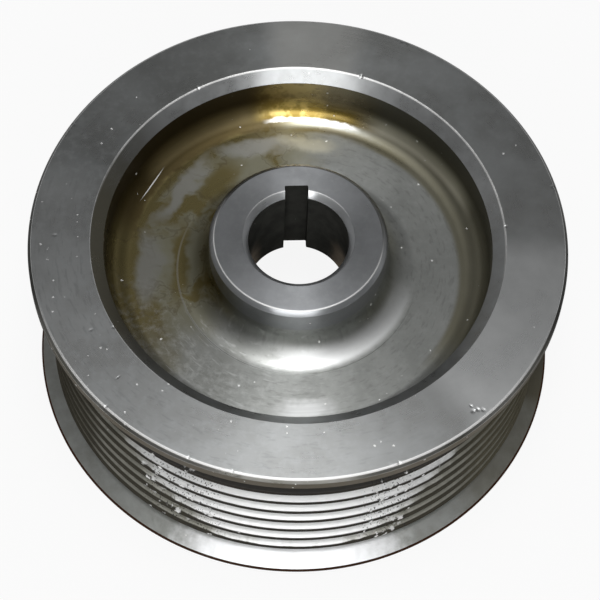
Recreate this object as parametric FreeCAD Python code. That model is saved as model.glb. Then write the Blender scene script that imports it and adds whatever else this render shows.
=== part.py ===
import FreeCAD, Part

import math
import os

# Alternator pulley: one piece of turned steel. A thick rim carries nine belt grooves
# between two flanges, and a dished web joins it to a hub with a keyed bore.
# Millimetres. The origin is the centre of the back face, with +Z towards the front
# face that the nut is on. The keyway points along +Y.

# Belt band, between the flanges
groove_count = 9
groove_pitch = 3.56
groove_angle = 40.0
groove_depth = 2.75
rib_diameter = 86.0
rib_tip_width = 0.95
rib_tip_round = 0.3
groove_root_round = 0.25

# Flanges
flange_diameter = 91.0
front_flange_edge = 2.3
back_flange_edge = 0.55
flange_inner_round = 0.2
front_edge_chamfer = 0.6
back_edge_chamfer = 0.25

# Front recess and its mouth
mouth_diameter = 70.0
front_recess_diameter = 65.7
mouth_depth = 1.8
rim_fillet = 4.1

# Web
web_depth = 10.2
web_thickness = 6.8
tool_ring_land = 0.3
tool_ring_step = 0.12

# Hub
hub_diameter = 30.2
hub_fillet = 5.2
hub_front_stand = 0.2
hub_back_stand = 0.8
hub_front_chamfer = 0.8
hub_back_chamfer = 0.4

# Bore and keyway
bore_diameter = 17.0
bore_chamfer = 1.0
keyway_width = 4.0
keyway_depth = 1.8
keyway_corner_round = 0.2

# Back recess
back_recess_diameter = 66.0
back_recess_fillet = 3.5
back_mouth_chamfer = 0.8

# Radii and heights that follow from the sizes above
flank_slope = math.tan(math.radians(groove_angle / 2))
flange_radius = flange_diameter / 2
rib_radius = rib_diameter / 2
root_radius = rib_radius - groove_depth
root_width = groove_pitch - rib_tip_width - 2 * groove_depth * flank_slope
flange_flank = (flange_radius - root_radius) * flank_slope
band_width = (groove_count - 1) * groove_pitch + root_width + 2 * flange_flank
pulley_width = back_flange_edge + band_width + front_flange_edge
hub_radius = hub_diameter / 2
bore_radius = bore_diameter / 2
tool_ring_radius = hub_radius + hub_fillet + tool_ring_land
web_front = pulley_width - web_depth
hub_land = web_front + tool_ring_step
web_back = web_front - web_thickness
hub_front = pulley_width + hub_front_stand
hub_back = web_back - hub_back_stand


def turn_angle(before, corner, after):
    """Angle between the outline's directions into and out of a corner."""
    way_in = (corner - before).normalize()
    way_out = (after - corner).normalize()
    return way_in.getAngle(way_out)


def rounded_outline(corners):
    """Closed wire through (radius, height, round) corners, each rounded by its own arc."""
    points = [FreeCAD.Vector(radius, 0, height) for radius, height, _ in corners]
    arcs = []
    for index, (_, _, size) in enumerate(corners):
        before = points[index - 1]
        corner = points[index]
        after = points[(index + 1) % len(points)]
        if size == 0:
            arcs.append((corner, None, corner))
            continue
        half_turn = turn_angle(before, corner, after) / 2
        to_before = (before - corner).normalize()
        to_after = (after - corner).normalize()
        reach = size * math.tan(half_turn)
        inward = (to_before + to_after).normalize()
        middle = corner + inward * (size / math.cos(half_turn) - size)
        arcs.append((corner + to_before * reach, middle, corner + to_after * reach))

    edges = []
    for index, (start, middle, end) in enumerate(arcs):
        if middle is not None:
            edges.append(Part.Arc(start, middle, end).toShape())
        following = arcs[(index + 1) % len(arcs)][0]
        edges.append(Part.makeLine(end, following))
    return Part.Wire(edges)


def bore_corners():
    """Bore wall from the front chamfer down to the back chamfer."""
    chamfer_radius = bore_radius + bore_chamfer
    return [
        (chamfer_radius, hub_front, 0),
        (bore_radius, hub_front - bore_chamfer, 0),
        (bore_radius, hub_back + bore_chamfer, 0),
        (chamfer_radius, hub_back, 0),
    ]


def back_corners():
    """Back of the hub, web and rim, from the hub's seat out to the back flange."""
    recess_radius = back_recess_diameter / 2
    return [
        (hub_radius - hub_back_chamfer, hub_back, 0),
        (hub_radius, hub_back + hub_back_chamfer, 0),
        (hub_radius, web_back, 0),
        (recess_radius, web_back, back_recess_fillet),
        (recess_radius, back_mouth_chamfer, 0),
        (recess_radius + back_mouth_chamfer, 0, 0),
        (flange_radius - back_edge_chamfer, 0, 0),
        (flange_radius, back_edge_chamfer, 0),
    ]


def groove_band_corners():
    """Belt band from the back flange to the front one: V grooves with ribs between them."""
    half_root = root_width / 2
    half_mouth = half_root + groove_depth * flank_slope
    first_groove = back_flange_edge + flange_flank + half_root
    corners = [(flange_radius, back_flange_edge, flange_inner_round)]
    for index in range(groove_count):
        middle = first_groove + index * groove_pitch
        if index > 0:
            corners.append((rib_radius, middle - half_mouth, rib_tip_round))
        corners.append((root_radius, middle - half_root, groove_root_round))
        corners.append((root_radius, middle + half_root, groove_root_round))
        if index < groove_count - 1:
            corners.append((rib_radius, middle + half_mouth, rib_tip_round))
    corners.append((flange_radius, pulley_width - front_flange_edge, flange_inner_round))
    return corners


def front_corners():
    """Rim face, the recess with its mouth, the dished web and the front of the hub."""
    recess_radius = front_recess_diameter / 2
    return [
        (flange_radius, pulley_width - front_edge_chamfer, 0),
        (flange_radius - front_edge_chamfer, pulley_width, 0),
        (mouth_diameter / 2, pulley_width, 0),
        (recess_radius, pulley_width - mouth_depth, 0),
        (recess_radius, web_front, rim_fillet),
        (tool_ring_radius, web_front, 0),
        (tool_ring_radius, hub_land, 0),
        (hub_radius, hub_land, hub_fillet),
        (hub_radius, hub_front - hub_front_chamfer, 0),
        (hub_radius - hub_front_chamfer, hub_front, 0),
    ]


def turned_blank():
    """The pulley as it leaves the lathe: its half section turned about the Z axis."""
    section = bore_corners() + back_corners() + groove_band_corners() + front_corners()
    face = Part.Face(rounded_outline(section))
    return face.revolve(FreeCAD.Vector(0, 0, 0), FreeCAD.Vector(0, 0, 1), 360)


def keyway_cutter():
    """Broach that cuts the keyway along the whole bore, with rounded floor corners."""
    overrun = 1.0
    length = hub_front - hub_back + 2 * overrun
    reach = bore_radius + keyway_depth
    corner = FreeCAD.Vector(-keyway_width / 2, 0, hub_back - overrun)
    broach = Part.makeBox(keyway_width, reach, length, corner)
    floor_corners = [
        edge
        for edge in broach.Edges
        if edge.BoundBox.ZLength > length / 2 and edge.CenterOfMass.y > reach / 2
    ]
    return broach.makeFillet(keyway_corner_round, floor_corners)


def pulley():
    """The finished pulley: the turned blank with its keyway broached."""
    return turned_blank().cut(keyway_cutter())


def main():
    os.makedirs("parts", exist_ok=True)
    finished = pulley()
    if finished.ShapeType == "Compound" and len(finished.Solids) == 1:
        finished = finished.Solids[0]
    finished.exportStep(os.path.join("parts", "pulley.step"))


main()
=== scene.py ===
import math

import bmesh
import bpy
from mathutils import Matrix, Vector, kdtree


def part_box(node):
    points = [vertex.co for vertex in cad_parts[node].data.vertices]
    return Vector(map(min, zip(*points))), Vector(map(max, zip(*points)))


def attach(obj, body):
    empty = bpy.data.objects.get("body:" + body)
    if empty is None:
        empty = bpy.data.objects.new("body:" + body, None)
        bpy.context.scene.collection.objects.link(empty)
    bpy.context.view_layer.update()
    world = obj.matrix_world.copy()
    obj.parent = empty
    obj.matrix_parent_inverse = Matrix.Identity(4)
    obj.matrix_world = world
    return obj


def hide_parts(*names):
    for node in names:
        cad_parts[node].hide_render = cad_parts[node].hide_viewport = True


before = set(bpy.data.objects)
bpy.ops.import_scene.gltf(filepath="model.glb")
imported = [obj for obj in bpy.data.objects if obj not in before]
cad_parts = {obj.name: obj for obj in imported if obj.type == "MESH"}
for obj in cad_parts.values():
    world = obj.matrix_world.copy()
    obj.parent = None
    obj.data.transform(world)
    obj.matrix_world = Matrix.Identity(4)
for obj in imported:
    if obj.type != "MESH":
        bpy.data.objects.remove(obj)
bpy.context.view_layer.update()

# Pulley body
# One disc of mild steel, turned all over on a lathe in two settings and then broached for its key.
# The half section is drawn once, with a small broken edge on every sharp corner, and spun about the axis.
mm = 0.001
high_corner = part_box("pulley")[1]

groove_count = 9
groove_pitch = 3.56 * mm
groove_angle = math.radians(40)
groove_depth = 2.75 * mm
rib_radius = 43.0 * mm
rib_tip_width = 0.95 * mm
rib_tip_round = 0.3 * mm
groove_root_round = 0.25 * mm

flange_radius = high_corner.x
front_flange_edge = 2.3 * mm
back_flange_edge = 0.55 * mm
flange_inner_round = 0.2 * mm
front_edge_chamfer = 0.6 * mm
back_edge_chamfer = 0.25 * mm

mouth_radius = 35.0 * mm
recess_radius = 32.85 * mm
mouth_depth = 1.8 * mm
rim_fillet = 4.1 * mm
web_depth = 10.2 * mm
web_thickness = 6.8 * mm
tool_ring_land = 0.3 * mm
tool_ring_step = 0.12 * mm

hub_radius = 15.1 * mm
hub_fillet = 5.2 * mm
hub_front_stand = 0.2 * mm
hub_back_stand = 0.8 * mm
hub_front_chamfer = 0.8 * mm
hub_back_chamfer = 0.4 * mm
bore_radius = 8.5 * mm
bore_chamfer = 1.0 * mm
keyway_width = 4.0 * mm
keyway_depth = 1.8 * mm
keyway_corner_round = 0.2 * mm

back_recess_radius = 33.0 * mm
back_recess_fillet = 3.5 * mm
back_mouth_chamfer = 0.8 * mm

hub_front = high_corner.z
rim_front = hub_front - hub_front_stand
web_front = rim_front - web_depth
web_back = web_front - web_thickness
hub_back = web_back - hub_back_stand
tool_ring_radius = hub_radius + hub_fillet + tool_ring_land
root_radius = rib_radius - groove_depth
flank_slope = math.tan(groove_angle / 2)
root_width = groove_pitch - rib_tip_width - 2 * groove_depth * flank_slope
flange_flank = (flange_radius - root_radius) * flank_slope

broken_edge = 0.14 * mm
turns_around = 320
widest_turn_per_facet = math.radians(30)
finest_turn_per_facet = math.radians(8)
small_round = 0.5 * mm


def bore_corners():
    """Bore wall from its front chamfer to its back one: radius, height and rounding of each corner."""
    mouth = bore_radius + bore_chamfer
    return [
        (mouth, hub_front, broken_edge),
        (bore_radius, hub_front - bore_chamfer, broken_edge),
        (bore_radius, hub_back + bore_chamfer, broken_edge),
        (mouth, hub_back, broken_edge),
    ]


def back_corners():
    """Back of the hub, the web and the rim, out to the edge of the back flange."""
    return [
        (hub_radius - hub_back_chamfer, hub_back, broken_edge),
        (hub_radius, hub_back + hub_back_chamfer, broken_edge),
        (hub_radius, web_back, 0),
        (back_recess_radius, web_back, back_recess_fillet),
        (back_recess_radius, back_mouth_chamfer, broken_edge),
        (back_recess_radius + back_mouth_chamfer, 0, broken_edge),
        (flange_radius - back_edge_chamfer, 0, broken_edge),
        (flange_radius, back_edge_chamfer, broken_edge),
    ]


def groove_corners():
    """Belt band between the flanges: nine V grooves with a rib between each two."""
    half_root = root_width / 2
    half_mouth = half_root + groove_depth * flank_slope
    first_groove = back_flange_edge + flange_flank + half_root
    corners = [(flange_radius, back_flange_edge, flange_inner_round)]
    for index in range(groove_count):
        middle = first_groove + index * groove_pitch
        if index > 0:
            corners.append((rib_radius, middle - half_mouth, rib_tip_round))
        corners.append((root_radius, middle - half_root, groove_root_round))
        corners.append((root_radius, middle + half_root, groove_root_round))
        if index < groove_count - 1:
            corners.append((rib_radius, middle + half_mouth, rib_tip_round))
    corners.append((flange_radius, rim_front - front_flange_edge, flange_inner_round))
    return corners


def front_corners():
    """Rim face, mouth and wall of the recess, dished web and front of the hub."""
    return [
        (flange_radius, rim_front - front_edge_chamfer, broken_edge),
        (flange_radius - front_edge_chamfer, rim_front, broken_edge),
        (mouth_radius, rim_front, broken_edge),
        (recess_radius, rim_front - mouth_depth, broken_edge),
        (recess_radius, web_front, rim_fillet),
        (tool_ring_radius, web_front, 0),
        (tool_ring_radius, web_front + tool_ring_step, 0),
        (hub_radius, web_front + tool_ring_step, hub_fillet),
        (hub_radius, hub_front - hub_front_chamfer, broken_edge),
        (hub_radius - hub_front_chamfer, hub_front, broken_edge),
    ]


def round_corner(section, vertex, rounding):
    """Rounds one corner of the section with an arc that meets both its sides."""
    sides = [(edge.other_vert(vertex).co - vertex.co).normalized() for edge in vertex.link_edges]
    turn = math.pi - sides[0].angle(sides[1])
    facet_turn = finest_turn_per_facet if rounding > small_round else widest_turn_per_facet
    bmesh.ops.bevel(
        section,
        geom=[vertex],
        offset=rounding * math.tan(turn / 2),
        offset_type="OFFSET",
        segments=max(2, math.ceil(turn / facet_turn)),
        profile=0.5,
        affect="VERTICES",
        clamp_overlap=False,
        material=-1,
    )


def turned_blank():
    """The disc as it leaves the lathe, as one closed surface."""
    blank = bmesh.new()
    corners = bore_corners() + back_corners() + groove_corners() + front_corners()
    vertices = [blank.verts.new((radius, 0, height)) for radius, height, _ in corners]
    outline_face = blank.faces.new(vertices)
    for vertex, (_, _, rounding) in zip(vertices, corners):
        if rounding > 0:
            round_corner(blank, vertex, rounding)
    bmesh.ops.delete(blank, geom=blank.faces[:], context="FACES_ONLY")
    bmesh.ops.spin(
        blank,
        geom=blank.verts[:] + blank.edges[:],
        cent=(0, 0, 0),
        axis=(0, 0, 1),
        angle=math.tau,
        steps=turns_around,
        use_merge=True,
        use_duplicate=False,
    )
    bmesh.ops.remove_doubles(blank, verts=blank.verts[:], dist=0.0001 * mm)
    bmesh.ops.recalc_face_normals(blank, faces=blank.faces[:])
    return blank


def rib_middle(number):
    """Height of the middle of a rib, counted from the back."""
    return back_flange_edge + flange_flank + root_width / 2 + (number + 0.5) * groove_pitch


def knock(azimuth, radius, height, reach, depth, face, stretch=1.0):
    """One dent: its place, the way round the axis there, its reach, how drawn out it is, and its push."""
    angle = math.radians(azimuth)
    outwards = Vector((math.cos(angle), math.sin(angle), 0))
    around = Vector((-outwards.y, outwards.x, 0))
    downwards = Vector((0, 0, -1))
    pushes = {"front": downwards, "side": -outwards, "edge": (downwards - outwards).normalized()}
    return outwards * radius + Vector((0, 0, height)), around, reach, stretch, pushes[face] * depth


def dent(blank, knocks):
    """Refines the surface round each knock and pushes it in, deepest in the middle."""
    finest = 0.16 * mm
    passes = 5
    widest = max(reach * stretch for _, _, reach, stretch, _ in knocks)
    places = kdtree.KDTree(len(knocks))
    for index, (place, *_) in enumerate(knocks):
        places.insert(place, index)
    places.balance()
    for _ in range(passes):
        long_edges = []
        for edge in blank.edges:
            length = edge.calc_length()
            if length > finest:
                middle = (edge.verts[0].co + edge.verts[1].co) / 2
                if places.find(middle)[2] < widest + length / 2:
                    long_edges.append(edge)
        bmesh.ops.subdivide_edges(blank, edges=long_edges, cuts=1, use_grid_fill=True)
    for vertex in blank.verts:
        start = vertex.co.copy()
        for place, index, _ in places.find_range(start, widest):
            _, around, reach, stretch, push = knocks[index]
            along = (start - place).dot(around)
            across = (start - place - along * around).length
            distance = math.hypot(along / stretch, across) / reach
            if distance < 1:
                share = 1 - distance ** 2
                vertex.co += push * share * share


front_knocks = [
    knock(azimuth, radius * mm, rim_front, reach * mm, depth * mm, "front", stretch)
    for azimuth, radius, reach, depth, stretch in (
        (-50.9, 43.0, 0.35, 0.08, 1.6),
        (-49.9, 43.3, 0.30, 0.09, 1.4),
        (-49.1, 43.9, 0.25, 0.07, 1.8),
        (-50.4, 42.1, 0.22, 0.05, 1.2),
        (-154.0, 38.6, 0.25, 0.05, 1.5),
        (-139.5, 39.8, 0.28, 0.05, 1.0),
        (178.0, 41.0, 0.25, 0.05, 1.7),
    )
]
edge_knocks = [
    knock(azimuth, flange_radius - front_edge_chamfer, rim_front, reach * mm, depth * mm, "edge")
    for azimuth, reach, depth in (
        (-105.6, 0.3, 0.07),
        (-115.1, 0.3, 0.06),
        (-136.0, 0.4, 0.08),
        (-71.0, 0.35, 0.08),
        (12.0, 0.4, 0.08),
        (64.0, 0.45, 0.08),
        (148.0, 0.4, 0.08),
    )
]
mouth_knocks = [
    knock(azimuth, mouth_radius, rim_front, reach * mm, depth * mm, "front")
    for azimuth, reach, depth in (
        (69.7, 0.45, 0.16),
        (2.5, 0.35, 0.08),
        (118.0, 0.35, 0.08),
        (-152.0, 0.35, 0.08),
    )
]
rib_knocks = [
    knock(azimuth, rib_radius, rib_middle(rib) + shift * mm, reach * mm, depth * mm, "side", stretch)
    for azimuth, rib, shift, reach, depth, stretch in (
        (-127.3, 4, 0.3, 0.35, 0.12, 1.6),
        (-124.0, 3, 0.3, 0.30, 0.12, 1.2),
        (-118.4, 4, 0.3, 0.45, 0.16, 2.0),
        (-117.0, 3, 0.3, 0.35, 0.14, 1.3),
        (-114.2, 3, 0.1, 0.30, 0.12, 1.8),
        (-112.7, 2, 0.3, 0.40, 0.14, 1.2),
        (-111.2, 0, 0.3, 0.45, 0.16, 1.1),
        (-75.0, 3, 0.2, 0.35, 0.14, 1.4),
        (-71.6, 4, 0.2, 0.35, 0.18, 2.2),
        (-69.4, 4, 0.2, 0.30, 0.16, 2.4),
        (-66.9, 4, 0.3, 0.40, 0.16, 1.0),
        (-58.5, 5, 0.0, 0.35, 0.20, 0.8),
        (-57.9, 0, 0.2, 0.35, 0.14, 1.1),
        (35.0, 3, 0.0, 0.40, 0.16, 1.8),
        (37.0, 4, 0.0, 0.35, 0.14, 1.3),
        (121.0, 5, 0.0, 0.45, 0.16, 2.0),
        (160.0, 2, 0.0, 0.35, 0.14, 1.5),
    )
]

blank = turned_blank()
dent(blank, front_knocks + edge_knocks + mouth_knocks + rib_knocks)
body_mesh = bpy.data.meshes.new("pulley_body")
blank.to_mesh(body_mesh)
blank.free()
pulley_body = bpy.data.objects.new("pulley_body", body_mesh)
bpy.context.scene.collection.objects.link(pulley_body)


def keyway_broach():
    """The broach's path: a bar of the key's width through the whole hub, with rounded floor corners."""
    overrun = 1.0 * mm
    length = hub_front - hub_back + 2 * overrun
    reach = bore_radius + keyway_depth
    bar = bmesh.new()
    bmesh.ops.create_cube(bar, size=1.0)
    bmesh.ops.scale(bar, vec=(keyway_width, reach, length), verts=bar.verts[:])
    bmesh.ops.translate(bar, vec=(0, reach / 2, (hub_front + hub_back) / 2), verts=bar.verts[:])
    floor_corners = [
        edge
        for edge in bar.edges
        if all(vertex.co.y > reach / 2 for vertex in edge.verts)
        and abs(edge.verts[0].co.z - edge.verts[1].co.z) > length / 2
    ]
    bmesh.ops.bevel(
        bar,
        geom=floor_corners,
        offset=keyway_corner_round,
        offset_type="OFFSET",
        segments=3,
        profile=0.5,
        affect="EDGES",
        clamp_overlap=False,
        material=-1,
    )
    mesh = bpy.data.meshes.new("keyway_broach")
    bar.to_mesh(mesh)
    bar.free()
    broach = bpy.data.objects.new("keyway_broach", mesh)
    bpy.context.scene.collection.objects.link(broach)
    return broach


def apply_modifiers(piece):
    """Gives a piece the mesh that its modifiers make, and takes the modifiers away."""
    shown = piece.evaluated_get(bpy.context.evaluated_depsgraph_get())
    finished = bpy.data.meshes.new_from_object(shown)
    finished.name = piece.name
    piece.modifiers.clear()
    piece.data = finished


broach = keyway_broach()
cut = pulley_body.modifiers.new("keyway", "BOOLEAN")
cut.operation = "DIFFERENCE"
cut.solver = "EXACT"
cut.object = broach
apply_modifiers(pulley_body)
bpy.data.objects.remove(broach)

sharpest_smooth_turn = math.radians(38)
for edge in pulley_body.data.edges:
    edge.use_edge_sharp = False
pulley_body.data.shade_smooth()
pulley_body.data.set_sharp_from_angle(angle=sharpest_smooth_turn)
flat_shading = pulley_body.modifiers.new("flat faces stay flat", "WEIGHTED_NORMAL")
flat_shading.keep_sharp = True
apply_modifiers(pulley_body)

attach(pulley_body, "root")
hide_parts("pulley")


# Rim
# The flat front face with its chamfers, and the edges of both flanges, as the finishing cut left them.
# Handling has clouded the face and left nicks, most of them away from the keyway. Its bright edge lines are
# painted highlights, its paler and darker sectors are painted reflections and shade, and its front flange's
# edge is painted light in front and near-black elsewhere.
class Value:
    """One number in a material. Arithmetic on it adds the Math nodes that work it out."""

    def __init__(self, shading, socket):
        self.shading = shading
        self.socket = socket

    def other(self, name):
        """Another output of the node that gave this value."""
        return Value(self.shading, self.socket.node.outputs[name])

    def math(self, operation, *others):
        numbers = dict(enumerate((self, *others)))
        return self.shading.add("ShaderNodeMath", {"operation": operation}, numbers)

    def __add__(self, other):
        return self.math("ADD", other)

    def __radd__(self, other):
        return self.math("ADD", other)

    def __sub__(self, other):
        return self.math("SUBTRACT", other)

    def __rsub__(self, other):
        return (self * -1) + other

    def __mul__(self, other):
        return self.math("MULTIPLY", other)

    def __rmul__(self, other):
        return self.math("MULTIPLY", other)

    def __truediv__(self, other):
        return self.math("DIVIDE", other)

    def __abs__(self):
        return self.math("ABSOLUTE")

    def or_more(self, other):
        return self.math("MAXIMUM", other)

    def or_less(self, other):
        return self.math("MINIMUM", other)


class Shading:
    """A material's nodes."""

    def __init__(self, name):
        self.material = bpy.data.materials.new(name)
        self.material.use_nodes = True
        self.tree = self.material.node_tree
        self.tree.nodes.clear()

    def add(self, kind, settings=None, inputs=None, output=0):
        """Adds a node of that kind with its settings, then fills its sockets with numbers or links."""
        node = self.tree.nodes.new(kind)
        for name, setting in (settings or {}).items():
            setattr(node, name, setting)
        for name, given in (inputs or {}).items():
            if isinstance(given, Value):
                self.tree.links.new(given.socket, node.inputs[name])
            else:
                node.inputs[name].default_value = given
        return Value(self, node.outputs[output]) if node.outputs else None

    def between(self, value, low, high):
        """0 below low, 1 above high, and a smooth rise between them."""
        limits = {"Value": value, "From Min": low, "From Max": high}
        return self.add("ShaderNodeMapRange", {"interpolation_type": "SMOOTHSTEP"}, limits)

    def line(self, value, middle, half_width, softness):
        """1 where value is that near to the middle, fading to 0 over the softness."""
        return 1 - self.between(abs(value - middle), half_width, half_width + softness)

    def mix(self, factor, first, second):
        """First colour where factor is 0, second where it is 1."""
        return self.add("ShaderNodeMix", {"data_type": "RGBA"}, {0: factor, 6: first, 7: second}, 2)

    def vector(self, x, y, z):
        return self.add("ShaderNodeCombineXYZ", inputs={0: x, 1: y, 2: z})

    def clouds(self, place, size, detail=3.0, roughness=0.5):
        """Soft noise from 0 to 1 whose patches are about that size."""
        inputs = {"Vector": place, "Scale": 1 / size, "Detail": detail, "Roughness": roughness}
        return self.add("ShaderNodeTexNoise", inputs=inputs)

    def spot(self, place, middle, half_length, half_width, angle, softness):
        """1 inside an ellipse on the front, fading to 0 over that share of its size."""
        moved = self.add("ShaderNodeMapping", {"vector_type": "TEXTURE"}, {
            "Vector": place,
            "Location": (middle[0], middle[1], 0),
            "Rotation": (0, 0, math.radians(angle)),
            "Scale": (half_length, half_width, 1000),
        })
        reach = self.add("ShaderNodeVectorMath", {"operation": "LENGTH"}, {0: moved}, "Value")
        return 1 - self.between(reach, 1 - softness, 1 + softness)

    def specks(self, place, spacing, size, share):
        """Small ragged marks of mixed sizes, one in each cell that is among that share of them."""
        ragged = self.clouds(place, 0.7 * size, 2.0).other("Color")
        bent = self.add("ShaderNodeVectorMath", {"operation": "MULTIPLY_ADD"}, {
            0: ragged,
            1: (1.6 * size,) * 3,
            2: place,
        })
        cells = self.add("ShaderNodeTexVoronoi", inputs={"Vector": bent, "Scale": 1 / spacing})
        chance = self.add("ShaderNodeSeparateColor", inputs={"Color": cells.other("Color")})
        reach = size / spacing * (0.35 + 0.65 * chance.other("Green"))
        mark = 1 - self.between(cells, 0.5 * reach, reach)
        return mark * chance.math("LESS_THAN", share)


class SteelShading(Shading):
    """Turned steel: its place in millimetres, its turning marks and its shader."""

    def __init__(self, name):
        super().__init__(name)
        coordinates = self.add("ShaderNodeTexCoord", output="Object")
        self.place = self.add("ShaderNodeMapping", inputs={"Vector": coordinates, "Scale": (1 / mm,) * 3})
        self.x = self.add("ShaderNodeSeparateXYZ", inputs={0: self.place})
        self.y = self.x.other("Y")
        self.z = self.x.other("Z")
        self.radius = (self.x * self.x + self.y * self.y).math("SQRT")

    def turning(self, feed, sweep=1.5):
        """Marks that run round the axis, about that feed apart, and fade in and out on their way."""
        across = (self.radius + 0.7 * self.z) / feed
        around = self.vector(across, sweep * self.x / self.radius, sweep * self.y / self.radius)
        return self.clouds(around, 1.0, 2.0)

    def towards(self, azimuth):
        """The cosine of the angle round the axis from that azimuth."""
        along = math.cos(math.radians(azimuth)) * self.x + math.sin(math.radians(azimuth)) * self.y
        return along / self.radius

    def facing(self, azimuth, low, high):
        """1 towards that azimuth and 0 away from it, with a smooth rise between the two cosines."""
        return self.between(self.towards(azimuth), low, high)

    def patches(self, size, low, high, roughness=0.6):
        """Cloudy patches of about that size: 0 where the noise is below low, 1 where it is above high."""
        return self.between(self.clouds(self.place, size, 4.0, roughness), low, high)

    def finish(self, colour, roughness, height, anisotropy=0.6, coat=0.0, metal=1.0):
        """Joins the shader. Height is in millimetres, and metal is 0 where matt stains and painted matt
        shade hide the steel.
        """
        normal = self.add("ShaderNodeBump", inputs={"Height": height, "Strength": 1.0, "Distance": mm})
        surface = self.add("ShaderNodeBsdfPrincipled", inputs={
            "Base Color": colour,
            "Metallic": metal,
            "Specular IOR Level": 0.0,
            "Roughness": roughness,
            "Normal": normal,
            "Anisotropic": anisotropy,
            "Anisotropic Rotation": 0.25,
            "Coat Weight": coat,
            "Coat Roughness": 0.12,
        })
        self.add("ShaderNodeOutputMaterial", inputs={"Surface": surface})
        return self.material


tolerance = 0.01 * mm


def finish_faces(piece, material, belongs):
    """Gives a finish to the faces whose radius, height and normal the test accepts."""
    piece.data.materials.append(material)
    slot = len(piece.data.materials) - 1
    for face in piece.data.polygons:
        if belongs(math.hypot(face.center.x, face.center.y), face.center.z, face.normal):
            face.material_index = slot


# Near-white for bare metal in nicks, and for the painted highlight lines along lit edges
bare_metal_and_highlight = (0.98, 0.98, 0.97, 1)
rust_brown = (0.05, 0.022, 0.012, 1)


def rim_steel():
    """Clouded grey with nicks, painted edge highlights, painted light and shade in broad sectors, a front
    flange edge painted light in front and near-black elsewhere, and rust on the back one.
    """
    steel = SteelShading("rim_steel")
    clouds = steel.patches(9.0, 0.3, 0.7, 0.55)
    mottle = steel.patches(1.7, 0.42, 0.75, 0.65)
    turning = steel.turning(0.4)
    worn = steel.facing(222, -0.2, 0.9)
    strokes = steel.between(steel.turning(0.5, 16.0), 0.52, 0.72) * worn
    nicks = steel.specks(steel.place, 2.4, 0.32, 0.10) + steel.specks(steel.place, 1.0, 0.26, 0.16 * worn)
    # Painted light and shade in broad sectors: the near half painted lighter, paler sides as painted
    # reflections, a painted highlight streak beyond the keyway and a painted dark sector left of it
    painted_near_light = steel.between(steel.towards(-80) + 0.2 * (clouds - 0.5), -0.75, 0.6)
    pale_sides = steel.facing(-28, 0.88, 0.95) + 0.3 * steel.facing(185, 0.85, 0.97)
    streak = steel.facing(84, 0.97, 0.995)
    shade = steel.facing(114, 0.93, 0.99)
    colour = steel.mix(clouds, (0.235, 0.24, 0.235, 1), (0.275, 0.285, 0.285, 1))
    colour = steel.mix(painted_near_light, colour, steel.mix(clouds, (0.36, 0.365, 0.36, 1), (0.41, 0.42, 0.42, 1)))
    colour = steel.mix(pale_sides, colour, steel.mix(clouds, (0.56, 0.57, 0.57, 1), (0.64, 0.65, 0.65, 1)))
    colour = steel.mix(0.7 * streak, colour, (0.39, 0.39, 0.375, 1))
    colour = steel.mix(0.5 * shade, colour, (0.15, 0.155, 0.15, 1))
    colour = steel.mix(0.4 * strokes, colour, (0.26, 0.27, 0.27, 1))
    colour = steel.mix(0.6 * mottle * (0.2 + 0.8 * worn), colour, (0.46, 0.475, 0.48, 1))

    # The flange's edge is painted light in front and near-black elsewhere, as painted light and shade, and
    # darker brown on its cylinder below the chamfer
    front = steel.facing(-95, 0.25, 0.7)
    painted_shade_tone = steel.mix(clouds, (0.24, 0.235, 0.205, 1), (0.36, 0.355, 0.335, 1))
    cylinder_top = (rim_front - front_edge_chamfer) / mm
    on_cylinder = 1 - steel.between(steel.z, cylinder_top - 0.1, cylinder_top)
    painted_shade_tone = steel.mix(0.8 * on_cylinder, painted_shade_tone, (0.12, 0.10, 0.07, 1))
    painted_shade_tone = steel.mix(front, (0.03, 0.03, 0.027, 1), painted_shade_tone)
    edge_radius = (flange_radius - front_edge_chamfer) / mm
    past_edge = steel.between(steel.radius, edge_radius + 0.05, edge_radius + 0.16)
    colour = steel.mix(past_edge, colour, painted_shade_tone)
    standing_edge = 1 - steel.between(steel.z, 0.9 * back_flange_edge / mm, 1.1 * back_flange_edge / mm)
    colour = steel.mix(standing_edge, colour, rust_brown)
    non_metal = standing_edge.or_more(0.85 * on_cylinder)

    # Painted highlights: a bright line along the outer edge in front and along the mouth's edge on the lit
    # side, broken into patches
    painted_glare = 0.65 + 0.35 * steel.between(steel.clouds(steel.place, 2.0, 3.0), 0.4, 0.6)
    outer_line = steel.line(steel.radius, edge_radius, 0.11, 0.14) * front
    lit_side = steel.facing(75, -0.1, 0.5).or_more(0.5 * steel.facing(185, 0.6, 0.9))
    inner_line = steel.line(steel.radius, mouth_radius / mm, 0.06, 0.12) * painted_glare * lit_side
    lines = outer_line.or_more(inner_line) * steel.z.math("GREATER_THAN", rim_front / mm - 0.3)
    bright = (nicks + lines).or_less(1.0)
    colour = steel.mix(bright, colour, bare_metal_and_highlight)
    roughness = 0.25 + 0.03 * clouds + 0.04 * turning + 0.3 * bright
    height = 0.0008 * turning - 0.012 * nicks
    return steel.finish(colour, roughness, height, anisotropy=0.7, metal=1 - non_metal * (1 - lines))


finish_faces(pulley_body, rim_steel(), lambda radius, height, normal: True)


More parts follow.
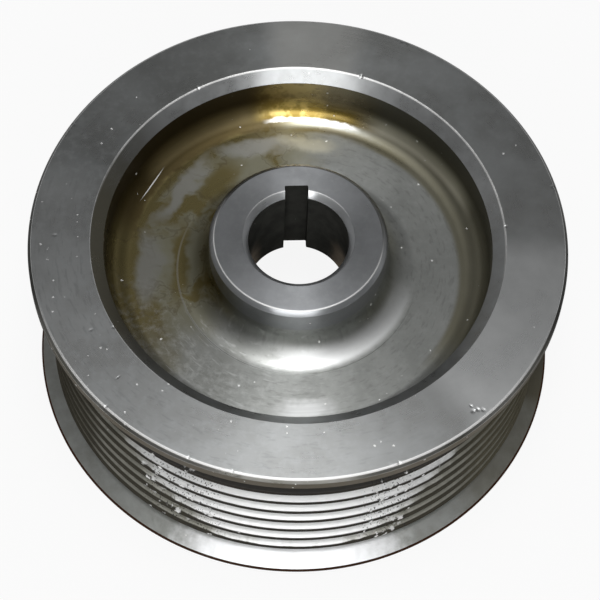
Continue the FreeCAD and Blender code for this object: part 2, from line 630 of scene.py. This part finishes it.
# Back
# The back of the rim, a plain turned recess, the web and the hub's seat, cut in the second setting.
# Handling has left it dull, with brown oil lying in the corners.
def back_steel():
    """Mottled dull grey, with oil in both corners of the recess and a cleaner hub seat."""
    steel = SteelShading("back_steel")
    clouds = steel.patches(8.0, 0.3, 0.7)
    mottle = steel.patches(2.2, 0.4, 0.75, 0.65)
    turning = steel.turning(0.5)
    nicks = steel.specks(steel.place, 2.6, 0.32, 0.12)
    recess_floor = web_back / mm
    corner = steel.line(steel.radius, back_recess_radius / mm, 0.4, 3.4)
    corner = corner * steel.between(steel.z, recess_floor - 7.0, recess_floor - 1.5)
    hub_corner = steel.line(steel.radius, hub_radius / mm + 0.5, 0.5, 2.0)
    hub_corner = hub_corner * steel.z.math("GREATER_THAN", recess_floor - 0.6)
    film_and_side_shade = steel.patches(10.0, 0.42, 0.62)
    oil = (0.9 * corner).or_more(0.8 * hub_corner).or_more(0.35 * film_and_side_shade)
    seat_height = hub_back / mm
    seat = steel.z.math("LESS_THAN", seat_height + 0.05) * steel.z.math("GREATER_THAN", seat_height - 0.05)
    colour = steel.mix(clouds, (0.30, 0.30, 0.29, 1), (0.37, 0.375, 0.37, 1))
    colour = steel.mix(0.4 * mottle, colour, (0.44, 0.445, 0.44, 1))
    colour = steel.mix(oil, colour, (0.16, 0.13, 0.075, 1))
    colour = steel.mix(0.6 * seat, colour, (0.52, 0.53, 0.53, 1))
    colour = steel.mix(nicks, colour, bare_metal_and_highlight)
    roughness = 0.32 + 0.06 * clouds + 0.05 * turning - 0.06 * seat + 0.25 * nicks
    height = 0.0012 * turning - 0.012 * nicks
    return steel.finish(colour, roughness, height, coat=0.2 * oil)


def on_back(radius, height, normal):
    """The back face of the rim and all of the recess behind the web."""
    in_recess = radius < back_recess_radius + back_mouth_chamfer and height < web_back + tolerance
    return in_recess or height < tolerance


finish_faces(pulley_body, back_steel(), on_back)


# Belt grooves
# Nine V grooves cut by one form tool. Their flanks are painted bright in front as a painted highlight, and
# olive elsewhere, an oil tone with painted shade. The rib tips are near-black, and the bottoms, the foot
# under the front flange and both ends of the band are painted dark as painted shade.
def groove_steel():
    """Flanks painted bright in front and olive at the sides, between near-black rib tips and painted shade,
    with knocked ribs and a rusty edge at the back.
    """
    steel = SteelShading("groove_steel")
    clouds = steel.patches(3.0, 0.3, 0.7)
    turning = steel.turning(0.25)
    unseen_side = 1 - steel.facing(-93, -0.35, -0.05)
    # Painted light: the flanks are bright within about 30 degrees of the front, as a painted highlight, and
    # olive beyond, an oil tone with painted shade
    leaning = steel.towards(-93) + 0.04 * (clouds - 0.5) + 0.01 * (steel.z - 15.0)
    film_and_side_shade = 1 - steel.between(leaning, 0.82, 0.90)
    depth = rib_radius / mm - steel.radius
    among_ribs = steel.line(steel.z, rim_front / mm / 2, rim_front / mm / 2 - 3.0, 0.3)
    # Painted shade at the right front: the flanks are darker and the dark lines fainter
    painted_right_fade = steel.facing(-28, 0.9, 0.98)
    # The rib tips are near-black; the groove bottoms, the foot under the front flange and the right end are
    # painted near-black as painted shade, less so on the far side
    tips = (1 - steel.between(depth, 0.05 + 0.2 * film_and_side_shade, 0.14 + 0.3 * film_and_side_shade)) * among_ribs
    bottoms = steel.between(depth, 1.5 - 0.5 * film_and_side_shade, 2.2 - 0.5 * film_and_side_shade)
    top_rib_edge = (rib_middle(groove_count - 3) + rib_tip_width / 2) / mm
    flange_foot = 1 - steel.between(steel.radius, rib_radius / mm + 0.3, rib_radius / mm + 1.5)
    under_flange = steel.between(steel.z, top_rib_edge - 0.3, top_rib_edge) * flange_foot
    dark_end = steel.facing(-6, 0.965, 0.985)
    dark_tips_and_shade = (0.97 * tips).or_more(0.85 * bottoms).or_more(0.93 * under_flange).or_more(0.9 * dark_end)

    bruised = steel.facing(-119, 0.978, 0.995) + steel.facing(-71, 0.992, 0.998)
    ticked = steel.clouds(steel.vector(3.2 * steel.x, 3.2 * steel.y, 0.9 * steel.z), 1.0, 1.0)
    ticks = steel.between(ticked, 0.62, 0.66) * bruised * among_ribs
    small_nicks = steel.specks(steel.place, 1.8, 0.32, 0.06)
    large_nicks = steel.specks(steel.place, 1.3, 0.7, 0.5 * bruised * among_ribs)
    nicks = (small_nicks + large_nicks).or_less(1.0)
    colour = steel.mix(clouds, (0.88, 0.885, 0.88, 1), (0.95, 0.955, 0.95, 1))
    olive = steel.mix(clouds, (0.33, 0.325, 0.275, 1), (0.46, 0.45, 0.39, 1))
    colour = steel.mix(0.92 * film_and_side_shade, colour, olive)
    on_flange = 1 - steel.between(steel.z, 2.5, 2.8)
    # The back flange's face is painted bright in front as a painted highlight
    painted_lit_front = steel.between(steel.towards(-93) + 0.03 * (clouds - 0.5), 0.87, 0.96)
    face = steel.mix(clouds, (0.30, 0.305, 0.285, 1), (0.37, 0.38, 0.365, 1))
    face = steel.mix(painted_lit_front, face, (0.90, 0.91, 0.92, 1))
    colour = steel.mix(on_flange, colour, face)
    colour = steel.mix(0.5 * painted_right_fade, colour, (0.20, 0.185, 0.135, 1))
    # Painted shade on the flanks at both ends of the band
    shaded = steel.facing(-163, 0.93, 0.98).or_more(steel.facing(-2, 0.95, 0.99))
    colour = steel.mix(0.75 * shaded * among_ribs, colour, (0.13, 0.12, 0.09, 1))
    flange_edge = flange_radius / mm
    back_half = steel.z.math("LESS_THAN", rim_front / mm / 2)
    rust = (1 - among_ribs) * steel.between(steel.radius, flange_edge - 0.34, flange_edge - 0.28) * back_half
    dark_line_colour = steel.mix(film_and_side_shade, (0.03, 0.025, 0.018, 1), (0.06, 0.055, 0.042, 1))
    dark_line_colour = steel.mix((0.8 * painted_right_fade).or_more(unseen_side), dark_line_colour, (0.11, 0.10, 0.07, 1))
    colour = steel.mix(dark_tips_and_shade, colour, dark_line_colour)
    colour = steel.mix(rust, colour, rust_brown)
    colour = steel.mix(0.8 * ticks, colour, (0.05, 0.05, 0.05, 1))
    colour = steel.mix(nicks, colour, bare_metal_and_highlight)
    roughness = 0.41 + 0.04 * clouds + 0.05 * turning + 0.35 * nicks
    height = 0.001 * turning - 0.01 * nicks + 0.03 * steel.clouds(steel.place, 1.2, 1.0)
    non_metal = dark_tips_and_shade.or_more(rust) * (1 - nicks) * (1 - 0.5 * unseen_side)
    return steel.finish(colour, roughness, height, anisotropy=0.0, metal=1 - non_metal)


def in_belt_band(radius, height, normal):
    """The grooves, the ribs and the sides of both flanges that face them."""
    return radius > root_radius - tolerance and back_flange_edge < height < rim_front - front_flange_edge


finish_faces(pulley_body, groove_steel(), in_belt_band)


# Mouth of the recess
# One wide chamfer, turned after the recess. It is painted paler on the keyway's side, with a painted
# highlight along its edge there, and brown where oil has crept up the wall on one side.
def mouth_steel():
    """Clean grey, painted paler on the keyway's side with a painted highlight along the edge there, and an
    oily patch.
    """
    steel = SteelShading("mouth_steel")
    clouds = steel.patches(4.0, 0.3, 0.7)
    turning = steel.turning(0.3)
    oil = steel.between(steel.towards(182) + 0.1 * (clouds - 0.5), 0.6, 0.99)
    nicks = steel.specks(steel.place, 1.6, 0.26, 0.08)
    # Painted highlight: the keyway's side painted paler and its edge painted bright where it faces the lamps
    keyway_side = steel.facing(78, 0.15, 0.75)
    edge = steel.between(steel.radius, mouth_radius / mm - 0.24, mouth_radius / mm - 0.12)
    colour = steel.mix(clouds, (0.29, 0.295, 0.29, 1), (0.35, 0.36, 0.365, 1))
    colour = steel.mix(keyway_side, colour, steel.mix(clouds, (0.50, 0.51, 0.51, 1), (0.62, 0.635, 0.64, 1)))
    colour = steel.mix(0.85 * oil, colour, (0.11, 0.10, 0.065, 1))
    bright = nicks.or_more(edge * steel.facing(75, -0.1, 0.5))
    colour = steel.mix(bright, colour, bare_metal_and_highlight)
    roughness = 0.25 + 0.04 * clouds + 0.04 * turning + 0.2 * bright
    return steel.finish(colour, roughness, 0.0008 * turning - 0.003 * nicks)


def in_mouth(radius, height, normal):
    """The chamfer between the rim's face and the recess wall."""
    sloping = 0.3 < normal.z < 0.95
    return sloping and recess_radius < radius < mouth_radius and height > rim_front - mouth_depth


finish_faces(pulley_body, mouth_steel(), in_mouth)


# Front recess
# Wall, dished web and hub foot, turned in one sweep. Old oil has dried in brown tide marks on one side,
# with bare islands between them. The wall is painted darker as painted shade, browner on the oily side,
# and the fillet beyond the keyway is golden with oil and a painted highlight.
def recess_steel():
    """Grey web under old oil: tide marks, bare islands and oily fillets, then nicks and scuffs, with painted
    highlights, painted glare and painted shade.
    """
    steel = SteelShading("recess_steel")
    bend = steel.clouds(steel.place, 6.0, 3.0, 0.6) - 0.5
    ripple = steel.clouds(steel.place, 1.8, 2.0, 0.6) - 0.5
    bent_x = steel.x + 5.0 * bend + 1.2 * ripple
    bent_y = steel.y - 4.0 * bend + 1.2 * ripple
    warped = steel.vector(bent_x, bent_y, steel.z)
    bent_radius = steel.radius + 2.0 * bend + 0.8 * ripple
    clouds = steel.patches(7.0, 0.3, 0.7)
    mottle = steel.patches(1.5, 0.42, 0.75, 0.65)
    turning = steel.turning(0.6)
    over_web = steel.z - web_front / mm
    beyond_hub = steel.between(steel.radius, (tool_ring_radius + hub_radius) / 2 / mm, tool_ring_radius / mm)
    wall = steel.between(over_web, 1.6, 4.6) * beyond_hub
    hub_foot = 1 - steel.between(steel.radius, 18.3, 19.8)

    oily_side = steel.between(steel.towards(150) + 0.4 * bend, 0.2, 0.6)
    tide = steel.clouds(warped, 8.0, 4.0, 0.55)
    bare = steel.spot(warped, (-6.0, 25.0), 6.0, 1.5, 5, 0.6)
    bare = bare.or_more(steel.spot(warped, (-19.6, 16.4), 7.0, 1.3, 53, 0.6))
    bare = bare.or_more(steel.spot(warped, (-25.6, 0.5), 6.0, 2.0, 88, 0.6))
    outer_band = steel.between(bent_radius, 26.6, 28.2) * steel.facing(160, 0.3, 0.65)
    thick = outer_band.or_more(steel.between(tide, 0.5, 0.6))
    thick = thick.or_more(steel.spot(warped, (-13.6, 17.6), 5.5, 2.6, 52, 0.5))
    thick = thick.or_more(steel.spot(warped, (-20.3, 2.0), 8.0, 1.6, 88, 0.5))
    thick = thick.or_more(steel.spot(warped, (-25.6, -8.5), 7.0, 2.6, 112, 0.5))
    thick = thick * oily_side * (1 - bare)
    web_edge_arc = steel.line(bent_radius, 28.9, 0.2, 0.9) * steel.facing(68, 0.90, 0.97)
    thick = thick.or_more(0.75 * web_edge_arc)
    # Fillets between web and wall: golden with oil and a painted highlight beyond the keyway, dark brown at
    # the left as oil with painted shade, dull at the right
    far_fillet = steel.between(over_web, 0.35, 0.85) * beyond_hub * steel.facing(82, 0.92, 0.985)
    left_fillet = steel.between(bent_radius, 28.6, 29.6) * steel.facing(128, 0.74, 0.88)
    right_fillet = steel.between(steel.radius, 27.3, 28.4) * steel.facing(15, 0.45, 0.75)
    tide_lines = steel.line(tide, 0.5, 0.004, 0.016) * oily_side

    nicks = steel.specks(steel.place, 3.0, 0.34, 0.14) + steel.specks(steel.place, 1.3, 0.26, 0.10)
    scratch = steel.spot(steel.place, (-24.8, 17.5), 3.4, 0.09, 58, 0.3)
    marks = (nicks + scratch).or_less(1.0)
    strokes = steel.between(steel.turning(0.5, 12.0), 0.52, 0.68) * (1 - oily_side)
    colour = steel.mix(clouds, (0.34, 0.35, 0.335, 1), (0.40, 0.41, 0.395, 1))
    colour = steel.mix(0.5 * strokes, colour, (0.27, 0.275, 0.26, 1))
    colour = steel.mix(0.35 * mottle * (1 - oily_side), colour, (0.50, 0.51, 0.50, 1))
    colour = steel.mix(0.8 * oily_side * (1 - 0.7 * bare), colour, (0.285, 0.27, 0.175, 1))
    colour = steel.mix(0.85 * thick, colour, (0.19, 0.15, 0.05, 1))
    colour = steel.mix(0.4 * tide_lines, colour, (0.13, 0.10, 0.05, 1))
    colour = steel.mix(0.9 * bare * oily_side, colour, (0.31, 0.305, 0.275, 1))
    colour = steel.mix(0.85 * right_fillet, colour, (0.22, 0.205, 0.14, 1))
    # Painted highlight: a pale band on the fillet to the right of the keyway
    pale = steel.between(steel.radius, 30.7, 31.7) * steel.facing(48, 0.84, 0.96) * (1 - wall)
    colour = steel.mix(0.8 * pale, colour, (0.90, 0.86, 0.68, 1))
    # Painted shade: the wall is painted darker, browner on the oily side
    painted_shade_tone = steel.mix(oily_side, (0.19, 0.185, 0.155, 1), (0.14, 0.13, 0.10, 1))
    colour = steel.mix(wall, colour, painted_shade_tone)
    # The left fillet is painted dark brown, an oil tone with painted shade
    colour = steel.mix(0.85 * left_fillet, colour, (0.085, 0.062, 0.026, 1))
    olive_band = steel.between(steel.radius, 30.4, 31.4) * steel.facing(121, 0.9, 0.97) * (1 - wall)
    colour = steel.mix(0.9 * olive_band, colour, (0.30, 0.24, 0.12, 1))
    # The far fillet's gold is an oil tint brightened as a painted highlight, darker in its middle
    gold = steel.mix(steel.between(bend + ripple, -0.1, 0.15), (0.90, 0.68, 0.22, 1), (0.50, 0.35, 0.08, 1))
    gold = steel.mix(steel.facing(91, 0.972, 0.993), (0.27, 0.19, 0.045, 1), gold)
    colour = steel.mix(far_fillet * (1 - 0.7 * wall), colour, gold)
    colour = steel.mix(0.35 * steel.facing(222, 0.9, 0.99), colour, (0.18, 0.18, 0.16, 1))
    # Painted highlight: a ragged white line along the oily fillet beyond the keyway
    painted_oil_highlight = steel.line(steel.radius + 1.0 * ripple, 30.65, 0.18, 0.3) * steel.facing(83, 0.955, 0.985)
    colour = steel.mix(painted_oil_highlight, colour, (0.98, 0.97, 0.93, 1))
    dry_patch = steel.spot(warped, (3.4, 25.4), 3.8, 1.3, -8, 0.7)
    colour = steel.mix(0.8 * dry_patch, colour, (0.66, 0.64, 0.52, 1))
    scuffs = steel.between(steel.turning(0.45, 9.0), 0.58, 0.75) * steel.facing(245, 0.6, 0.95)
    dull_spots = 0.8 * mottle * steel.facing(222, 0.7, 0.95) * steel.between(steel.radius, 21.0, 24.0)
    scuffs = scuffs.or_more(dull_spots)
    tool_ring = steel.line(steel.radius, tool_ring_radius / mm, 0.1, 0.12) * steel.facing(215, 0.3, 0.8)
    colour = steel.mix(0.4 * scuffs.or_more(0.6 * tool_ring), colour, (0.66, 0.67, 0.66, 1))
    # Painted glare: a bright patch on the near web and a bright band round the hub foot at the right front
    painted_glare = steel.spot(warped, (0.6, -27.4), 4.5, 1.8, 0, 0.7) * (0.4 + turning)
    painted_glare = painted_glare.or_more(0.7 * steel.line(steel.radius, 18.3, 0.9, 1.4) * steel.facing(-58, 0.6, 0.9))
    colour = steel.mix(painted_glare.or_less(0.85), colour, (0.80, 0.81, 0.81, 1))
    colour = steel.mix(marks, colour, bare_metal_and_highlight)
    oil = thick.or_more(far_fillet).or_more(0.5 * oily_side * (1 - bare))
    roughness = 0.27 + 0.03 * clouds + 0.05 * turning - 0.04 * oil + 0.1 * bare * oily_side + 0.3 * marks
    roughness = roughness + 0.12 * hub_foot * steel.between(steel.radius, 15.3, 17.0)
    roughness = roughness + 0.12 * left_fillet * (1 - far_fillet)
    height = 0.0015 * turning - 0.012 * marks + 0.004 * ripple * far_fillet
    return steel.finish(colour, roughness, height, coat=0.06 * oil + 0.3 * far_fillet)


def in_front_recess(radius, height, normal):
    """The recess from its wall across the web to the hub's side."""
    above_web = web_front - tolerance < height < rim_front - mouth_depth
    return above_web and hub_radius - tolerance < radius < recess_radius + tolerance


finish_faces(pulley_body, recess_steel(), in_front_recess)


# Hub
# Its face is the seat of the shaft nut's washer, so it is faced flat with a chamfer inside and outside.
# Its chamfers and edges are painted bright or dark, as painted highlights and painted shade, by how they
# meet the light.
def hub_steel():
    """Clean grey with chamfers and edge lines painted bright or dark, as painted highlights and painted
    shade, and a few nicks.
    """
    steel = SteelShading("hub_steel")
    clouds = steel.patches(5.0, 0.3, 0.7)
    mottle = steel.patches(1.2, 0.42, 0.75, 0.65)
    turning = steel.turning(0.25)
    nicks = steel.specks(steel.place, 1.6, 0.24, 0.08)
    edge_radius = (hub_radius - hub_front_chamfer) / mm
    chamfered = steel.between(steel.radius, edge_radius - 0.25, edge_radius - 0.1)
    # Painted highlights along the outer edge on the near side and along the bore's edge beyond the keyway
    outer_line = steel.line(steel.radius, edge_radius, 0.05, 0.1) * steel.facing(-105, -0.3, 0.3)
    bore_mouth = (bore_radius + bore_chamfer) / mm
    bore_line = steel.line(steel.radius, bore_mouth, 0.02, 0.1) * steel.facing(90, 0.2, 0.7)
    bright = (nicks + outer_line + 0.6 * bore_line).or_less(1.0)
    colour = steel.mix(clouds, (0.325, 0.335, 0.345, 1), (0.365, 0.375, 0.39, 1))
    colour = steel.mix(0.4 * mottle, colour, (0.42, 0.43, 0.44, 1))
    # Painted shade on the chamfer beyond the hub, darkest left of the keyway, and a painted highlight on its
    # near foot
    colour = steel.mix(chamfered * steel.facing(75, -0.1, 0.5), colour, (0.17, 0.17, 0.165, 1))
    colour = steel.mix(0.8 * chamfered * steel.facing(122, 0.88, 0.97), colour, (0.05, 0.05, 0.045, 1))
    chamfer_foot = (hub_front - hub_front_chamfer) / mm
    lit_chamfer = chamfered * steel.between(steel.z, chamfer_foot - 0.05, chamfer_foot + 0.05)
    colour = steel.mix(lit_chamfer * steel.facing(-85, 0.2, 0.7), colour, (0.62, 0.64, 0.66, 1))
    # Painted highlight in the bore's chamfer, strongest beyond the keyway
    in_bore_chamfer = 1 - steel.between(steel.radius, bore_mouth - 0.1, bore_mouth)
    painted_glare = in_bore_chamfer * (0.2 + 0.8 * steel.facing(88, 0.3, 0.95))
    colour = steel.mix(painted_glare, colour, (0.92, 0.94, 0.95, 1))
    colour = steel.mix(bright, colour, bare_metal_and_highlight)
    roughness = 0.26 + 0.03 * clouds + 0.04 * turning + 0.3 * bright
    height = 0.0008 * turning - 0.01 * nicks
    return steel.finish(colour, roughness, height, anisotropy=0.7)


def on_hub(radius, height, normal):
    """The hub above its fillet."""
    return radius < hub_radius + tolerance and height > web_front + hub_fillet + tool_ring_step


finish_faces(pulley_body, hub_steel(), on_hub)


# Bore and keyway
# Bored on the lathe, then broached for the key. They are painted matt near-black as painted shade,
# and brown low down at both sides.
def bore_steel():
    """Matt near-black as painted shade, browner low down at each side, with a few light specks."""
    steel = SteelShading("bore_steel")
    clouds = steel.patches(3.0, 0.3, 0.7)
    turning = steel.turning(0.4)
    low = 1 - steel.between(steel.z, hub_back / mm + 3.0, hub_back / mm + 10.0)
    sides = steel.between(abs(steel.x), 5.5, 8.0) * steel.between(steel.y, -1.0, 2.0)
    specks = steel.specks(steel.place, 2.4, 0.2, 0.12)
    # Painted shade: the bore and keyway are painted matt near-black
    colour = steel.mix(clouds, (0.052, 0.053, 0.048, 1), (0.075, 0.075, 0.068, 1))
    low_brown_sides = low * sides * (0.5 + 0.5 * clouds)
    colour = steel.mix(low_brown_sides, colour, (0.27, 0.20, 0.13, 1))
    colour = steel.mix(0.5 * specks, colour, (0.4, 0.4, 0.4, 1))
    roughness = 0.4 + 0.1 * clouds + 0.05 * turning
    return steel.finish(colour, roughness, 0.002 * turning, metal=0.4 * low_brown_sides)


def in_bore(radius, height, normal):
    """The bore's wall and the three walls of the keyway."""
    return radius < bore_radius + 2 * keyway_depth and abs(normal.z) < 0.1


finish_faces(pulley_body, bore_steel(), in_bore)


# Floor
# A wide sheet of white board that the pulley stands on. Most of the white that the camera and the steel
# see is its own glow, and the rest of it takes the pulley's shadow.
floor_half_width = 2.0
board = bmesh.new()
bmesh.ops.create_grid(board, x_segments=1, y_segments=1, size=floor_half_width)
floor_mesh = bpy.data.meshes.new("floor")
board.to_mesh(floor_mesh)
board.free()
floor = bpy.data.objects.new("floor", floor_mesh)
bpy.context.scene.collection.objects.link(floor)

white_board = Shading("white_board")
seen_by = [
    white_board.add("ShaderNodeLightPath", output=kind)
    for kind in ("Is Camera Ray", "Is Glossy Ray", "Is Transmission Ray")
]
seen = (seen_by[0] + seen_by[1] + seen_by[2]).or_less(1.0)
paper = white_board.add("ShaderNodeBsdfDiffuse", inputs={"Color": (0.85, 0.85, 0.85, 1)})
glow = white_board.add("ShaderNodeEmission", inputs={"Strength": 1.0})
glow_share = 0.9
surface = white_board.add("ShaderNodeMixShader", inputs={0: glow_share * seen, 1: paper, 2: glow})
white_board.add("ShaderNodeOutputMaterial", inputs={"Surface": surface})
floor_mesh.materials.append(white_board.material)


# Camera
# It looks down on the front face from 60 degrees, with the keyway beyond the bore and a little off
# the picture's middle line.
camera_azimuth = math.radians(-94.4)
camera_elevation = math.radians(60.16)
camera_roll = math.radians(2.72)
camera_distance = 397.4 * mm
camera_focal_length = 143.84
towards_camera = Vector((math.cos(camera_azimuth), math.sin(camera_azimuth), 0))
rightwards = Vector((-towards_camera.y, towards_camera.x, 0))
upwards = Vector((0, 0, 1))
aim = 0.73 * mm * rightwards + 12.03 * mm * towards_camera + rim_front * upwards
backwards = math.cos(camera_elevation) * towards_camera + math.sin(camera_elevation) * upwards
level_up = backwards.cross(rightwards)
camera_right = math.cos(camera_roll) * rightwards + math.sin(camera_roll) * level_up
camera_up = math.cos(camera_roll) * level_up - math.sin(camera_roll) * rightwards
camera_data = bpy.data.cameras.new("camera")
camera_data.sensor_width = 36
camera_data.lens = camera_focal_length
camera = bpy.data.objects.new("camera", camera_data)
turn = Matrix((camera_right, camera_up, backwards)).transposed()
camera.matrix_world = Matrix.Translation(aim + camera_distance * backwards) @ turn.to_4x4()
bpy.context.scene.collection.objects.link(camera)
bpy.context.scene.camera = camera


# Lamps
# Two soft boxes in line with the camera: a long one overhead and a wide one in front. The room is dim,
# but for its ceiling, a pale horizon and paler walls behind the pulley.
def soft_box(name, elevation, distance, width, height, brightness):
    """A lit panel that faces the pulley. Brightness is its radiance, where 1 is the floor's white."""
    lamp = bpy.data.lights.new(name, "AREA")
    lamp.shape = "RECTANGLE"
    lamp.size = width
    lamp.size_y = height
    lamp.energy = brightness * math.pi * width * height
    outwards = math.cos(elevation) * towards_camera + math.sin(elevation) * upwards
    facing = Matrix((rightwards, outwards.cross(rightwards), outwards)).transposed()
    panel = bpy.data.objects.new(name, lamp)
    panel.matrix_world = Matrix.Translation(distance * outwards) @ facing.to_4x4()
    bpy.context.scene.collection.objects.link(panel)


soft_box("overhead_box", math.radians(83), distance=0.8, width=0.20, height=0.44, brightness=7.0)
soft_box("front_box", math.radians(40), distance=0.9, width=0.6, height=0.28, brightness=2.7)


class RoomShading(Shading):
    """The room's nodes."""

    def __init__(self, room):
        room.use_nodes = True
        self.tree = room.node_tree
        self.tree.nodes.clear()


studio = bpy.data.worlds.new("studio")
bpy.context.scene.world = studio
room = RoomShading(studio)
direction = room.add("ShaderNodeTexCoord", output="Generated")
across = room.add("ShaderNodeSeparateXYZ", inputs={0: direction})
rise = across.other("Z")
dim_room = 0.11
horizon = 0.8 * (1 - room.between(rise, 0.0, 0.06))
ceiling = 0.10 * room.between(rise, 0.1, 0.8) + 1.0 * room.between(rise, 0.83, 0.96)
walls = 0.3 * room.between(across.other("Y"), -0.3, 0.3) * (1 - room.between(rise, 0.3, 0.6))
light = room.add("ShaderNodeBackground", inputs={"Strength": dim_room + horizon + walls + ceiling})
room.add("ShaderNodeOutputWorld", inputs={"Surface": light})

bpy.context.scene.view_settings.view_transform = "Standard"
